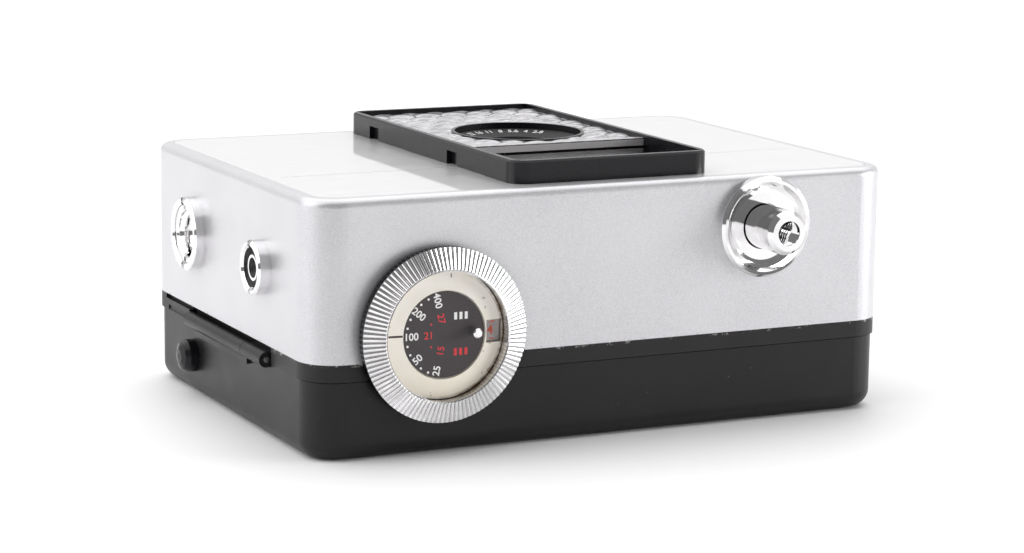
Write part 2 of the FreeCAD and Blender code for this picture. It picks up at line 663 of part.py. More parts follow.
def lens_barrel():
    """Flanged tube that holds the front and middle glasses above the shutter."""
    flange = 26.2
    return turned("lens_barrel", [(3.0, flange), (D.housing_rad, flange), (D.housing_rad, flange + 1),
                                  (D.barrel_rad, flange + 1), (D.barrel_rad, D.window_top - 1.5),
                                  (D.glass_rad + 0.35, D.window_top - 1.5),
                                  (D.glass_rad + D.fit, D.window_top - 2.2),
                                  (D.glass_rad + D.fit, flange + 1.3), (3.0, flange + 1.3)],
                  D.lens_x, D.lens_y)


def shutter_housing():
    """Round pan that holds the blades and the rear glass."""
    return turned("shutter_housing", [(4.25, 20), (D.housing_rad, 20), (D.housing_rad, 26.2),
                                      (D.housing_rad - 1, 26.2), (D.housing_rad - 1, 24.4),
                                      (3.2, 24.4), (3.2, 23.8), (4.25, 23.8)], D.lens_x, D.lens_y)


def glass(name, radius, low, high, dome):
    """A round lens element whose front bulges by dome."""
    radius, low, high = size(radius), size(low), size(high)
    profile = [(0, low), (radius, low), (radius, high)]
    for part in (0.75, 0.5, 0.25):
        profile.append((radius * part, high + size(dome) * (1 - part * part)))
    return turned(name, profile + [(0, high + dome)], D.lens_x, D.lens_y)


def shutter_blade(number):
    """One of two pivoted blades that meet over the lens axis; they lie one above the other."""
    side = 1 if number == 1 else -1
    item = body(f"shutter_blade_{number}", D.lens_x, D.lens_y, 24.7 + 0.45 * (number - 1))
    drawing = sketch(item)
    outline(drawing, [(side * -0.4, -4.0), (side * 3.8, -4.6), (side * 7.0, 0.5), (side * 8.4, 4.0),
                      (side * 7.1, 6.6), (side * 5.6, 6.4), (side * 4.6, 4.2), (side * -0.4, 4.0)])
    pad(item, drawing, 0.2)
    drawing = sketch(item)
    circle(drawing, 0.55, side * 7.0, 5.2)
    pocket(item, drawing, 1)
    return item


def shutter_pins():
    """Two fixed pins that the blades turn on."""
    pins = [rod(0.5, D.lens_x + side * 7.0, D.lens_y + 5.2, 24.4, 1.5) for side in (1, -1)]
    return as_part(join(pins), "shutter_pins")


# ---------------------------------------------------------------- top dial and film drive

def fluted_ring(item):
    """Cut one radial flute across the bevel of a ring and repeat it round the axis."""
    before = item.Shape.Volume
    pitch = 2 * math.pi * D.dial_rad.value / D.flutes.value
    drawing = sketch(item, "XZ_Plane")
    low, high = D.dial_edge - D.dial_back, D.dial_top - D.dial_back
    outline(drawing, [(D.dial_lip + 0.15, high - 0.02), (D.dial_rad + 0.2, low - D.flute_depth),
                      (D.dial_rad + 0.2, high + 1), (D.dial_lip + 0.15, high + 1)])
    groove = item.newObject("PartDesign::Pocket", "flute")
    groove.Profile = drawing
    groove.Midplane = True
    groove.Length = 0.5 * pitch
    doc.recompute()
    rounds = item.newObject("PartDesign::PolarPattern", "flutes")
    rounds.Originals = [groove]
    rounds.Axis = ([axis for axis in item.Origin.OriginFeatures if axis.Role == "Z_Axis"][0], [""])
    rounds.Angle = 360
    rounds.Occurrences = int(D.flutes.value)
    rounds.setExpression("Occurrences", D.flutes.formula)
    item.Tip = rounds
    doc.recompute()
    if item.Shape.Volume > before - 1:
        raise RuntimeError("the flutes cut nothing")
    return item


def winding_ring():
    """Knurled ring with its web; its bevel is cut with radial flutes."""
    back = D.dial_back
    edge, top = D.dial_edge - back, D.dial_top - back
    item = turned("winding_ring", [(D.shaft_rad, 0), (D.dial_rad - 0.25, 0), (D.dial_rad, 0.25),
                                   (D.dial_rad, edge), (D.dial_lip + 0.15, top), (D.dial_lip, top - 0.12),
                                   (D.dial_lip, 0.25), (D.shaft_rad, 0.25)],
                  D.dial_x, -back, D.dial_z, TO_TOP)
    return fluted_ring(item)


def winding_shaft():
    """Hollow shaft from the ring to the mainspring; it turns on the fixed spindle."""
    item = turned("winding_shaft", [(D.spindle_rad + D.fit, -20), (D.shaft_rad, -20),
                                    (D.shaft_rad, 31.25), (D.spindle_rad + D.fit, 31.25)],
                  D.dial_x, 0, D.dial_z, TO_TOP)
    return item


def spindle():
    """Fixed rod through the winding shaft that carries the dial's still parts."""
    item = body("spindle", D.dial_x, D.film_y1 + 1, D.dial_z, TO_TOP)
    drawing = sketch(item)
    circle(drawing, D.spindle_rad)
    pad(item, drawing, D.film_y1 + 1 + 31.75)
    return item


def counter_disc():
    """Numbered frame disc, seen through the window of the ivory ring."""
    return turned("counter_disc", [(D.spindle_rad + D.fit, 31.35), (8.3, 31.35), (8.3, 31.5),
                                   (D.spindle_rad + D.fit, 31.5)], D.dial_x, 0, D.dial_z, TO_TOP)


def counter_ring():
    """Ivory ring with a sloping face, on a thin web, with the counter window cut through it."""
    item = turned("counter_ring", [(D.spindle_rad, 31.6), (8.4, 31.6), (8.4, 31.9),
                                   (D.ivory_in, 32.25), (D.ivory_in, 31.8), (D.spindle_rad, 31.8)],
                  D.dial_x, 0, D.dial_z, TO_TOP)
    box_cut(item, 5.9, 8.2, -1.5, 1.5, 31, 33.5)
    return item


def film_speed_disc():
    """Black setting disc inside the ivory ring."""
    return turned("film_speed_disc", [(0, 31.85), (D.disc_rad, 31.85), (D.disc_rad, 32.05), (0, 32.05)],
                  D.dial_x, 0, D.dial_z, TO_TOP)


def speed_stud():
    """Small post that the film speed disc is turned by."""
    return turned("speed_stud", [(0, 32.05), (D.stud_rad, 32.05), (D.stud_rad, 33.8),
                                 (D.stud_rad - 0.15, 33.95), (0, 33.95)],
                  D.dial_x + D.stud_place, 0, D.dial_z + 0.2, TO_TOP)


def take_up_spool():
    """Film spool whose hollow barrel holds the mainspring."""
    length = D.film_y1 - D.film_y0 - 0.6
    wide, far_bore = D.shaft_rad + D.fit, D.spindle_rad + D.fit
    profile = [(wide, 0), (9.6, 0), (9.6, 0.9), (D.spool_rad, 0.9), (D.spool_rad, length - 0.9),
               (9.6, length - 0.9), (9.6, length), (far_bore, length), (far_bore, length - 1.2),
               (D.barrel_in, length - 1.2), (D.barrel_in, 1.2), (wide, 1.2)]
    return turned("take_up_spool", profile, D.dial_x, D.film_y0 + 0.3, D.dial_z, TO_BOTTOM)


def mainspring():
    """Flat spiral strip wound on the shaft inside the spool's barrel."""
    thick, pitch, turns, steps = 0.2, 0.56, 5, 24
    start = D.shaft_rad.value
    spiral = []
    for step in range(turns * steps + 1):
        angle = 2 * math.pi * step / steps
        spiral.append((start + pitch * step / steps, angle))
    edge = [Vector(r * math.cos(a), r * math.sin(a), 0) for r, a in spiral]
    back = [Vector((r + thick) * math.cos(a), (r + thick) * math.sin(a), 0) for r, a in reversed(spiral)]
    strip = Part.Face(Part.makePolygon(edge + back + edge[:1])).extrude(Vector(0, 0, 30))
    strip = strip.cut(Part.makeCylinder(start, 30))
    return solid("mainspring", strip, D.dial_x, D.film_y0 + 4, D.dial_z, TO_BOTTOM)


def sprocket():
    """Shaft with two toothed rows that carry the film's edges."""
    item = turned("sprocket", [
        (0, -24.0), (1.5, -24.0), (1.5, D.film_y0), (D.sprocket_shaft, D.film_y0),
        (D.sprocket_shaft, D.lens_y - 17.2), (D.sprocket_rad, D.lens_y - 17.2),
        (D.sprocket_rad, D.lens_y - 13.3), (D.sprocket_shaft, D.lens_y - 13.3),
        (D.sprocket_shaft, D.lens_y + 13.3), (D.sprocket_rad, D.lens_y + 13.3),
        (D.sprocket_rad, D.lens_y + 17.2), (D.sprocket_shaft, D.lens_y + 17.2),
        (D.sprocket_shaft, D.film_y1 - D.fit), (1.5, D.film_y1 - D.fit), (1.5, D.film_y1 + 1),
        (0, D.film_y1 + 1)], D.sprocket_x, 0, SPROCKET_Z, TO_BOTTOM)
    for row in (-1, 1):
        drawing = sketch(item, height=D.lens_y + row * 15.5 - 0.9)
        outline(drawing, [(D.sprocket_rad - 0.3, -0.9), (D.sprocket_rad + 0.8, -0.5),
                          (D.sprocket_rad + 0.8, 0.5), (D.sprocket_rad - 0.3, 0.9)])
        tooth = pad(item, drawing, 1.8)
        rounds = item.newObject("PartDesign::PolarPattern", "teeth")
        rounds.Originals = [tooth]
        rounds.Axis = ([axis for axis in item.Origin.OriginFeatures if axis.Role == "Z_Axis"][0], [""])
        rounds.Angle = 360
        rounds.Occurrences = 8
        item.Tip = rounds
        doc.recompute()
    return item


def gear(name, teeth, bore, x, y, z, thick=1.4):
    """Spur gear with straight-sided teeth; the first tooth lies on the local X axis."""
    module = D.gear_mod.value
    root, tip = module * (teeth / 2 - 1.15), module * (teeth / 2 + 0.85)
    mid, step = module * teeth / 2, 2 * math.pi / teeth
    points = []
    for tooth in range(teeth):
        centre = tooth * step
        for radius, half in ((root, 0.30), (mid, 0.205), (tip, 0.10)):
            points.append((radius, centre - half * step))
        for radius, half in ((tip, 0.10), (mid, 0.205), (root, 0.30)):
            points.append((radius, centre + half * step))
    corners_xy = [Vector(r * math.cos(a), r * math.sin(a), 0) for r, a in points]
    disc = Part.Face(Part.makePolygon(corners_xy + corners_xy[:1])).extrude(Vector(0, 0, thick))
    shape = disc.cut(Part.makeCylinder(bore, thick))
    return solid(name, shape, x, y, z, TO_BOTTOM)


# ---------------------------------------------------------------- release, fittings and light meter

def release_collar():
    """Polished dish round the release, with its neck through the casing."""
    face = HALF_WID
    return turned("release_collar", [(D.plunger_rad + 0.15, face - 2.4), (5.1, face - 2.4), (5.1, face),
                                     (D.collar_rad, face), (D.collar_rad, face + 1.0),
                                     (D.collar_rad - 0.35, face + 1.35), (D.collar_rad - 0.75, face + 1.3),
                                     (5.6, face + 0.75), (5.1, face + 0.45), (4.6, face + 0.35),
                                     (D.plunger_rad + 0.15, face + 0.35)],
                  D.release_x, 0, D.release_z, TO_TOP)


def release_plunger():
    """Release button, flanged below the collar and threaded for a cable release."""
    end = D.plunger_end
    floor = end - D.cable_depth
    return turned("release_plunger", [(0, 24.6), (D.plunger_rad - 0.4, 24.6), (D.plunger_rad - 0.4, 27.3),
                                      (4.3, 27.3), (4.3, 28.0), (D.plunger_rad, 28.0),
                                      (D.plunger_rad, end - 0.55), (D.plunger_rad - 0.55, end),
                                      (D.cable_rad, end), (D.cable_rad, floor), (0, floor - 0.6)],
                  D.release_x, 0, D.release_z, TO_TOP)


def release_spring():
    """Coil spring under the button."""
    inner_rad, outer_rad, wire, height, pitch = 1.6, 2.2, 0.4, 1.6, 0.8
    helix = Part.makeHelix(pitch, height, inner_rad)
    section = Part.makePolygon([Vector(x, 0, z) for x, z in (
        (inner_rad, 0), (outer_rad, 0), (outer_rad, wire), (inner_rad, wire), (inner_rad, 0))])
    coil = Part.Wire(helix.Edges).makePipeShell([section], True, True)
    return solid("release_spring", coil, D.release_x, -24.6, D.release_z, TO_BOTTOM)


def tripod_ring():
    """Outer ring nut that clamps the tripod bush, with two spanner notches."""
    item = turned("tripod_ring", [(4.0, 0), (5.1, 0), (5.1, 1.35), (4.85, 1.6), (4.25, 1.6), (4.0, 1.35)],
                  -HALF_LEN, D.tripod_y, D.tripod_z, TO_HINGE)
    for side in (-1, 1):
        box_cut(item, side * 4.6 - 1.2, side * 4.6 + 1.2, -0.55, 0.55, 0.9, 1.7)
    return item


def tripod_bush():
    """Threaded bush for a tripod screw, flanged inside the casing."""
    bore, outer = D.tripod_rad, D.tripod_bush_rad
    item = turned("tripod_bush", [(bore, -4.7), (outer, -4.7), (outer, -2.6), (5.2, -2.6), (5.2, -1.05),
                                  (outer, -1.05), (outer, 1.25), (bore + 0.3, 1.25), (bore, 0.95)],
                  -HALF_LEN, D.tripod_y, D.tripod_z, TO_HINGE)
    box_cut(item, -5, 5, -0.4, 0.4, 0.8, 1.4)
    return item


def flash_shell():
    """Chrome socket body of the flash terminal, with two spanner notches."""
    item = turned("flash_shell", [(2.7, -2.6), (2.95, -2.6), (2.95, 0), (D.flash_rad, 0),
                                  (D.flash_rad, 1.55), (D.flash_rad - 0.25, 1.8), (3.0, 1.8), (2.7, 1.5)],
                  -HALF_LEN, D.flash_y, D.flash_z, TO_HINGE)
    for side in (-1, 1):
        box_cut(item, side * 3.3 - 1.1, side * 3.3 + 1.1, -0.5, 0.5, 1.1, 1.9)
    return item


def flash_insulator():
    return turned("flash_insulator", [(1.75, -2.4), (2.65, -2.4), (2.65, 0.9), (1.75, 0.9)],
                  -HALF_LEN, D.flash_y, D.flash_z, TO_HINGE)


def flash_sleeve():
    """Outer contact of the flash terminal."""
    return turned("flash_sleeve", [(1.35, -2.4), (1.72, -2.4), (1.72, 1.3), (1.35, 1.3)],
                  -HALF_LEN, D.flash_y, D.flash_z, TO_HINGE)


def flash_pin_socket():
    """Centre contact of the flash terminal: an insulating plug with a narrow bore."""
    return turned("flash_pin_socket", [(0, -2.4), (1.32, -2.4), (1.32, 0.8), (0.55, 0.8), (0.55, -1.4), (0, -1.4)],
                  -HALF_LEN, D.flash_y, D.flash_z, TO_HINGE)


def meter_movement():
    """Moving-coil light meter, beside the viewfinder."""
    return turned("meter_movement", [(0.45, 0), (4.6, 0), (4.6, 6.5), (1.2, 6.5), (1.2, 5.5), (0.45, 5.5)],
                  *METER_AXIS, 21.5)


METER_AXIS = (-19.6, -24.8)


def meter_needle():
    """Needle that swings above the meter on its own staff."""
    item = body("meter_needle", *METER_AXIS, 28.3)
    drawing = sketch(item)
    outline(drawing, [(-2.5, -0.5), (0, -0.7), (13.5, -0.15), (13.5, 0.15), (0, 0.7), (-2.5, 0.5)])
    pad(item, drawing, 0.25)
    drawing = sketch(item, height=-4)
    circle(drawing, 0.4)
    pad(item, drawing, 4.1)
    return item


def rewind_shaft():
    """Shaft whose fork turns the cassette's spool."""
    item = body("rewind_shaft", D.cassette_x, D.film_y1 - 3, D.cassette_z, TO_BOTTOM)
    drawing = sketch(item)
    circle(drawing, 1.9)
    pad(item, drawing, 9.0)
    box_cut(item, -0.7, 0.7, -3, 3, 0, 2.4)
    return item


FOLD_AT = 5.55        # from the rewind axis to the axis that the handle folds about


def rewind_crank():
    """Round head on the bottom that carries the folding handle in a slot."""
    item = turned("rewind_crank", [(0, 0), (7.2, 0), (7.5, 0.3), (7.5, 1.3), (7.2, 1.6), (0, 1.6)],
                  D.cassette_x, D.film_y1 + 6.0, D.cassette_z, TO_BOTTOM)
    box_cut(item, -6.2, 7.6, -1.7, 1.7, 0.6, 1.7)
    return item


def crank_handle():
    """Folding handle with a round end to fold about and a small grip, lying in the head's slot."""
    thick, half_wide = 0.75, 1.4
    low = D.film_y1 + 6.75
    item = body("crank_handle", D.cassette_x, low, D.cassette_z, TO_BOTTOM)
    box_pad(item, -FOLD_AT, 6.4, -half_wide, half_wide, 0, thick)
    drawing = sketch(item, height=thick)
    circle(drawing, 1.35, 4.9, 0)
    pad(item, drawing, 1.6)
    end = rod(thick / 2, D.cassette_x - FOLD_AT, low + thick / 2, D.cassette_z - half_wide, 2 * half_wide)
    return as_part(join([inner(item), end]), "crank_handle")


def rewind_button():
    """Small button on the bottom that frees the sprocket for rewinding."""
    return turned("rewind_button", [(0, 27.5), (1.9, 27.5), (1.9, 28.3), (1.25, 28.3), (1.25, 31.9),
                                    (1.0, 32.1), (0, 32.1)], D.sprocket_x, 0, D.cassette_z, TO_BOTTOM)


def latch_slide():
    """Sliding catch on the latch end, with grip ribs and a tongue through the back's wall."""
    item = body("latch_slide")
    face = HALF_LEN - D.cover_inset + D.fit
    box_pad(item, face, face + 1.1, -6.0, 6.0, 4.4, 9.0)
    box_pad(item, 40.9, face, -4.0, 4.0, 5.9, 7.5)
    for rib in range(5):
        y = -3.2 + 1.6 * rib
        box_pad(item, face + 1.1, face + 1.5, y - 0.35, y + 0.35, 4.8, 8.6)
    return item


def casing_screws():
    """Slotted screws that hold the casing to the chassis spigot, on the bottom side."""
    screws = []
    for x, z in SCREW_PLACES:
        head = rod(1.5, x, HALF_WID, z, 0.6, TO_BOTTOM)
        shank = rod(0.7, x, HALF_WID - 1.05, z, 1.1, TO_BOTTOM)
        slot = brick(x - 2, x + 2, HALF_WID + 0.3, HALF_WID + 1, z - 0.2, z + 0.2)
        screws.append(cut(join([head, shank]), [slot]))
    return as_part(join(screws), "casing_screws")


# ---------------------------------------------------------------- assembly

def build():
    for make in (front_casing, front_plate, chassis, back_cover, hinge_pin, side_stud, light_seal, film_gate,
                 pressure_plate, pressure_spring, cell_frame, cell_window, selenium_cell, lens_bezel,
                 viewfinder_window, viewfinder_tube, eyepiece_lens, aperture_ring, lens_barrel,
                 shutter_housing, shutter_pins, winding_ring, winding_shaft, spindle, counter_disc,
                 counter_ring, film_speed_disc, speed_stud, take_up_spool, mainspring, sprocket,
                 release_collar, release_plunger, release_spring, tripod_ring, tripod_bush, flash_shell,
                 flash_insulator, flash_sleeve, flash_pin_socket, meter_movement, meter_needle,
                 rewind_shaft, rewind_crank, crank_handle, rewind_button, latch_slide, casing_screws):
        make()
    for number in (1, 2):
        shutter_blade(number)
    glass("front_lens", D.glass_rad, 32.2, 33.6, 0.8)
    glass("middle_lens", D.glass_rad, 27.6, 29.2, -0.5)
    glass("rear_lens", 4.2, 20.4, 22.6, 0.6)
    gear("sprocket_gear", 24, 1.5, D.sprocket_x, -23.6, SPROCKET_Z)
    gear("cocking_gear", 12, 0.5, D.sprocket_x - COCKING_ALONG, -23.6, SPROCKET_Z + COCKING_LIFT)


def export():
    """Stop on anything that failed to build, then write one STEP file for each sub-part."""
    doc.recompute()
    for item in doc.Objects:
        if {"Invalid", "Error"} & set(item.State):
            raise RuntimeError(f"{item.Label} failed: {item.State}")
    os.makedirs("parts", exist_ok=True)
    for part in PARTS:
        if part.Shape.isNull() or not part.Shape.isValid() or not part.Shape.Solids:
            raise RuntimeError(f"{part.Label} is not a sound solid")
        part.Shape.exportStep(f"parts/{part.Label}.step")
    print(len(PARTS), "sub-parts")


build()
export()
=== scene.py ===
"""Half frame camera on its back, lens up: finishes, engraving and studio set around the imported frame."""

import json
import math

import bmesh
import bpy
from mathutils import Matrix, Vector


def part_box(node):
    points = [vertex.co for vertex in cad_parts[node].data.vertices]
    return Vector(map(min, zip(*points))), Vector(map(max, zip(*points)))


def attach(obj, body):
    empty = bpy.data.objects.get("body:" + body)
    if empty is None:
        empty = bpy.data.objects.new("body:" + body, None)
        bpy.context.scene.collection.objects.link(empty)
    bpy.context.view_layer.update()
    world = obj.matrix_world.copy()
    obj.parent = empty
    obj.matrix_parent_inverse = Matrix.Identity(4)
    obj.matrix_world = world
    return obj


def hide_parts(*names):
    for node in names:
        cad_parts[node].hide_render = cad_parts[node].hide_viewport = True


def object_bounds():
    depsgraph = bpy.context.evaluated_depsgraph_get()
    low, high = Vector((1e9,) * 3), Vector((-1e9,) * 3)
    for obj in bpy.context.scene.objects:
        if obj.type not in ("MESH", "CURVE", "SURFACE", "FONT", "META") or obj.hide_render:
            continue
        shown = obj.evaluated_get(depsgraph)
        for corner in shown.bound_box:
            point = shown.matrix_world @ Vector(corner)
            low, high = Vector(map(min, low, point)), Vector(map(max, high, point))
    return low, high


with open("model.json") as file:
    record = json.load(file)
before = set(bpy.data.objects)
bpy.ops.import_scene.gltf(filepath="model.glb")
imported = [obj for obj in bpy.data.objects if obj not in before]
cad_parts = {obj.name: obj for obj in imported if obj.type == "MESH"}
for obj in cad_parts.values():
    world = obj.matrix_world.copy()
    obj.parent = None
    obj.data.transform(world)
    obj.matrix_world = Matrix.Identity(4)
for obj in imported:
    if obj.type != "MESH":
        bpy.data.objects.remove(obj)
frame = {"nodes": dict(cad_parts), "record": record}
cad_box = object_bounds()

MM = 0.001
ROOT = "camera_body"


# ---------------------------------------------------------------- places, all taken from the frame

def centre(node):
    low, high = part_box(node)
    return (low + high) / 2


DIAL = centre("film_speed_disc")                       # the top dial turns about an axis along Y
LENS = centre("aperture_ring")
RELEASE = centre("release_collar")
DISC_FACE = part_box("film_speed_disc")[0].y
COUNTER_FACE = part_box("counter_disc")[0].y
IVORY_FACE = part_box("counter_ring")[0].y
CASING_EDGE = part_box("front_casing")[0].z              # where the silver casing meets the black frame

PAINT_RAISE = 0.012 * MM                               # middle of a painted mark over the face it lies on
PAINT_DEPTH = 0.02 * MM                                # thickness of a painted mark


# ---------------------------------------------------------------- node helpers

class Paint:
    """A material under construction, with short calls for the nodes it needs.

    Object coordinates are in metres; lengths given to these calls are in millimetres where they say so.
    """

    def __init__(self, name, **inputs):
        """Start a material; inputs are the shader's own, in lower case with underscores."""
        self.material = bpy.data.materials.new(name)
        self.material.use_nodes = True
        self.nodes = self.material.node_tree.nodes
        self.links = self.material.node_tree.links
        self.shader = self.nodes["Principled BSDF"]
        for socket, value in inputs.items():
            self.shader.inputs[socket.replace("_", " ").title().replace("Ior", "IOR")].default_value = value
        self.place = self.nodes.new("ShaderNodeTexCoord").outputs["Object"]

    def feed(self, target, value):
        """Join an input to another node's output, or give it a plain value."""
        if isinstance(value, bpy.types.NodeSocket):
            self.links.new(value, target)
        else:
            target.default_value = value

    def node(self, kind, **inputs):
        item = self.nodes.new(f"ShaderNode{kind}")
        for socket, value in inputs.items():
            self.feed(item.inputs[socket.replace("_", " ")], value)
        return item

    def noise(self, scale, detail=4.0, rough=0.6, stretch=None):
        """Noise whose scale is features per millimetre, drawn out along an axis if stretch is given."""
        vector = self.node("Mapping", Vector=self.place, Scale=stretch or (1, 1, 1)).outputs[0]
        item = self.node("TexNoise", Vector=vector, Scale=scale / MM, Detail=detail, Roughness=rough)
        return item.outputs["Fac"]

    def ramp(self, value, low, high, first=0.0, last=1.0):
        """value, mapped from low..high to first..last and clamped."""
        item = self.node("MapRange", Value=value, From_Min=low, From_Max=high, To_Min=first, To_Max=last)
        return item.outputs["Result"]

    def math(self, kind, first, second=0.0):
        item = self.nodes.new("ShaderNodeMath")
        item.operation = kind
        for socket, value in zip(item.inputs, (first, second)):
            self.feed(socket, value)
        return item.outputs[0]

    def product(self, first, second):
        return self.math("MULTIPLY", first, second)

    def mix(self, factor, first, second):
        """A colour between two colours."""
        item = self.nodes.new("ShaderNodeMix")
        item.data_type = "RGBA"
        factor_input, first_input, second_input = item.inputs[0], item.inputs[6], item.inputs[7]
        self.feed(factor_input, factor)
        for socket, colour in ((first_input, first), (second_input, second)):
            self.feed(socket, (*colour, 1) if isinstance(colour, tuple) else colour)
        return item.outputs[2]

    def axis(self, name):
        return self.node("SeparateXYZ", Vector=self.place).outputs[name]

    def set(self, socket, value):
        self.links.new(value, self.shader.inputs[socket])

    def bump(self, height, depth):
        """Bump of the given depth in millimetres."""
        self.set("Normal", self.node("Bump", Height=height, Distance=depth * MM).outputs["Normal"])

    def from_dial(self):
        """Distances from the top dial's axis: along X, along Z, and straight out."""
        across = self.math("SUBTRACT", self.axis("X"), DIAL.x)
        upward = self.math("SUBTRACT", self.axis("Z"), DIAL.z)
        squares = self.math("ADD", self.product(across, across), self.product(upward, upward))
        return across, upward, self.math("SQRT", squares)


# ---------------------------------------------------------------- finishes

def silver_paint():
    """Satin silver paint with fine metal flake, worn dark here and there along its lower edge."""
    paint = Paint("silver_paint", metallic=0.55, coat_weight=0.25, coat_roughness=0.2)
    flake = paint.noise(7.0, 2.0, 0.7)
    broad = paint.noise(0.06, 3.0, 0.5)
    silver = paint.mix(paint.ramp(flake, 0.3, 0.7), (0.52, 0.515, 0.535), (0.70, 0.695, 0.715))
    silver = paint.mix(paint.ramp(broad, 0.35, 0.7, 0.0, 0.35), silver, (0.74, 0.735, 0.755))
    near_edge = paint.ramp(paint.axis("Z"), CASING_EDGE + 0.35 * MM, CASING_EDGE)
    chips = paint.ramp(paint.noise(0.9, 5.0, 0.75), 0.60, 0.64)
    paint.set("Base Color", paint.mix(paint.product(near_edge, chips), silver, (0.05, 0.045, 0.045)))
    paint.set("Roughness", paint.ramp(flake, 0.2, 0.8, 0.30, 0.42))
    paint.bump(flake, 0.012)
    return paint.material


def coated_plate():
    """Light silver plate under a clear, glossy coat."""
    paint = Paint("coated_plate", metallic=0.35, coat_weight=1.0, coat_roughness=0.035)
    grain = paint.noise(2.0, 3.0, 0.6, (0.05, 1, 1))
    paint.set("Base Color", paint.mix(paint.ramp(grain, 0.3, 0.7), (0.80, 0.80, 0.81), (0.88, 0.88, 0.89)))
    paint.set("Roughness", paint.ramp(paint.noise(0.3), 0.3, 0.7, 0.30, 0.40))
    paint.bump(grain, 0.001)
    return paint.material


def black_paint(name, tone=0.007, rough=0.36, grain=0.010, worn_at=None):
    """Satin black paint with a fine orange peel; worn_at is the height of a chipped edge."""
    paint = Paint(name, specular_ior_level=0.30)
    cloud = paint.noise(0.12, 4.0, 0.6)
    fine = paint.noise(5.0, 2.0, 0.6)
    black = paint.mix(paint.ramp(cloud, 0.3, 0.7), (tone, tone * 0.95, tone * 1.05),
                      (tone * 1.5, tone * 1.42, tone * 1.55))
    if worn_at is not None:
        near_edge = paint.ramp(paint.axis("Z"), worn_at - 0.45 * MM, worn_at - 0.05 * MM)
        chips = paint.ramp(paint.noise(0.7, 6.0, 0.8), 0.56, 0.60)
        black = paint.mix(paint.product(near_edge, chips), black, (0.42, 0.40, 0.38))
    dust = paint.ramp(paint.noise(1.6, 2.0, 0.5), 0.76, 0.80, 0.0, 0.25)
    paint.set("Base Color", paint.mix(dust, black, (0.25, 0.24, 0.23)))
    paint.set("Roughness", paint.ramp(cloud, 0.3, 0.7, rough - 0.05, rough + 0.05))
    paint.bump(fine, grain)
    return paint.material


def gloss_black():
    """Moulded black frame, glossy with faint swirl marks."""
    paint = Paint("gloss_black", specular_ior_level=0.30)
    cloud = paint.noise(0.25, 4.0, 0.6)
    paint.set("Base Color", paint.mix(cloud, (0.005, 0.004, 0.006), (0.010, 0.009, 0.011)))
    paint.set("Roughness", paint.ramp(cloud, 0.3, 0.7, 0.20, 0.32))
    paint.bump(paint.noise(3.0, 2.0), 0.003)
    return paint.material


def matte_black():
    """Dull black of inner faces and mouldings."""
    paint = Paint("matte_black", specular_ior_level=0.35)
    fine = paint.noise(4.0, 3.0)
    paint.set("Base Color", paint.mix(fine, (0.006, 0.006, 0.006), (0.016, 0.015, 0.015)))
    paint.set("Roughness", paint.ramp(fine, 0.3, 0.7, 0.55, 0.7))
    paint.bump(fine, 0.006)
    return paint.material


def bright_metal(name, tone, rough, streak=(1, 1, 1), depth=0.0015):
    """Plated or turned metal; streak draws the fine marks out along an axis."""
    paint = Paint(name, metallic=1.0)
    fine = paint.noise(4.0, 3.0, 0.6, streak)
    haze = paint.noise(0.35, 4.0, 0.6)
    darker = tuple(0.86 * part for part in tone)
    paint.set("Base Color", paint.mix(paint.ramp(haze, 0.35, 0.7), tone, darker))
    paint.set("Roughness", paint.ramp(haze, 0.3, 0.7, rough * 0.7, rough * 1.4))
    paint.bump(fine, depth)
    return paint.material


def fluted_chrome():
    """Bright ring with rounded flutes on its bevel, with painted shade darkening the grooves; painted shade
    makes the wall under the bevel near black.
    """
    flutes = 108
    bevel_start, shaded_wall_start, shaded_wall_drop = 8.7 * MM, 9.5 * MM, 1.15 * MM
    blur = 0.1 * MM
    paint = Paint("fluted_chrome", metallic=1.0)
    across, upward, reach = paint.from_dial()
    angle = paint.math("ARCTAN2", upward, across)
    wave = paint.product(paint.math("COSINE", paint.product(angle, flutes)), -0.5)
    haze = paint.noise(0.5, 4.0, 0.6)
    bright = paint.mix(paint.ramp(haze, 0.35, 0.7), (0.92, 0.915, 0.92), (0.80, 0.79, 0.80))
    # painted shade: the grooves are painted darker than the chrome around them
    groove = paint.ramp(wave, -0.30, -0.48, 0.0, 0.55)
    bright = paint.mix(groove, bright, (0.30, 0.29, 0.30))
    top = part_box("winding_ring")[0].y
    # painted shade: the wall under the bevel is painted near black in place of its shadow and dark reflection
    wall = paint.product(paint.ramp(paint.axis("Y"), top + shaded_wall_drop, top + shaded_wall_drop + blur),
                         paint.ramp(reach, shaded_wall_start, shaded_wall_start + blur))
    paint.set("Base Color", paint.mix(wall, bright, (0.02, 0.018, 0.02)))
    paint.set("Roughness", paint.ramp(haze, 0.3, 0.7, 0.10, 0.20))
    paint.bump(paint.product(wave, paint.ramp(reach, bevel_start, bevel_start + 0.5 * blur)), 0.11)
    return paint.material


